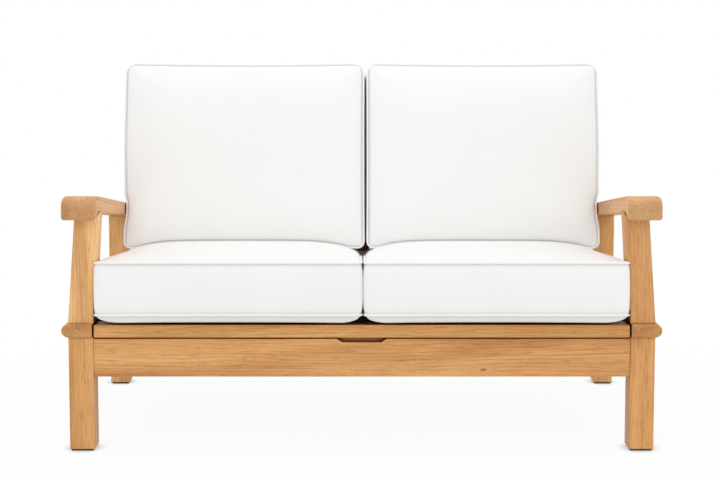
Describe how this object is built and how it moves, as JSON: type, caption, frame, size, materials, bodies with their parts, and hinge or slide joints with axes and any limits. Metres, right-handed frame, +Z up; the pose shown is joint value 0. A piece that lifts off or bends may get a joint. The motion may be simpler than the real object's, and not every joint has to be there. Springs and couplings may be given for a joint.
{
  "type": "patio loveseat",
  "caption": "Patio loveseat in oiled hardwood with loose box cushions, sloping arms and a pull-out slatted seat deck whose slatted back reclines as the deck slides forward.",
  "frame": {"origin": "on the floor under the middle of the whole piece's bounding box at rest", "axes": "+X to the right along the seat as seen from the front, +Y from the front to the back (the seat faces -Y), +Z up"},
  "size_m": [1.448, 0.762, 0.9249],
  "materials": {
    "frame_wood": "satin oil",
    "rail_wood": "satin oil",
    "deck_wood": "satin oil",
    "back_wood": "satin oil",
    "cushion_fabric": "woven outdoor fabric with piped seams",
    "glide_plastic": "matte",
    "screw_steel": "brushed",
    "hinge_steel": "brushed"
  },
  "bodies": {
    "frame": {"arm_left": "frame_wood", "arm_post_left": "frame_wood", "arm_post_right": "frame_wood", "arm_right": "frame_wood", "corner_blocks": "rail_wood", "dowels": "frame_wood", "fixed_bearer_left": "rail_wood", "fixed_bearer_right": "rail_wood", "foot_glides": "glide_plastic", "front_apron": "rail_wood", "front_leg_left": "frame_wood", "front_leg_right": "frame_wood", "rear_apron": "rail_wood", "rear_leg_left": "frame_wood", "rear_leg_right": "frame_wood", "rear_stops": "rail_wood", "rest_bar": "rail_wood", "runner_left": "rail_wood", "runner_right": "rail_wood", "side_board_left": "frame_wood", "side_board_right": "frame_wood", "side_rail_left": "rail_wood", "side_rail_right": "rail_wood"},
    "deck": {"deck_front_rail": "deck_wood", "deck_rear_rail": "deck_wood", "deck_slat_1": "deck_wood", "deck_slat_2": "deck_wood", "deck_slat_3": "deck_wood", "deck_slat_4": "deck_wood", "deck_slat_5": "deck_wood", "deck_slat_6": "deck_wood", "deck_slat_7": "deck_wood", "hinge_bolts": "hinge_steel", "hinge_nuts": "hinge_steel", "hinge_washers": "hinge_steel", "mid_bearer_left": "deck_wood", "mid_bearer_right": "deck_wood", "seat_cushion_left": "cushion_fabric", "seat_cushion_right": "cushion_fabric", "side_bearer_left": "deck_wood", "side_bearer_right": "deck_wood", "slat_screws": "screw_steel"},
    "back": {"back_bottom_rail": "back_wood", "back_cushion_left": "cushion_fabric", "back_cushion_right": "cushion_fabric", "back_slat_01": "back_wood", "back_slat_02": "back_wood", "back_slat_03": "back_wood", "back_slat_04": "back_wood", "back_slat_05": "back_wood", "back_slat_06": "back_wood", "back_slat_07": "back_wood", "back_slat_08": "back_wood", "back_slat_09": "back_wood", "back_slat_10": "back_wood", "back_stile_left": "back_wood", "back_stile_middle": "back_wood", "back_stile_right": "back_wood", "back_top_rail": "back_wood"}
  },
  "joints": [
    {"name": "seat_slide", "type": "slide", "parent": "frame", "child": "deck", "axis": [0, -0.9981, 0.061], "range_m": [0, 0.08]},
    {"name": "back_recline", "type": "hinge", "parent": "deck", "child": "back", "pos_m": [0, 0.2279, 0.24248], "axis": [-1, 0, 0], "range_deg": [0, 16.9]}
  ],
  "couplings": [
    {"joint": "back_recline", "follows": "seat_slide", "rad_per_m": 3.6712}
  ]
}
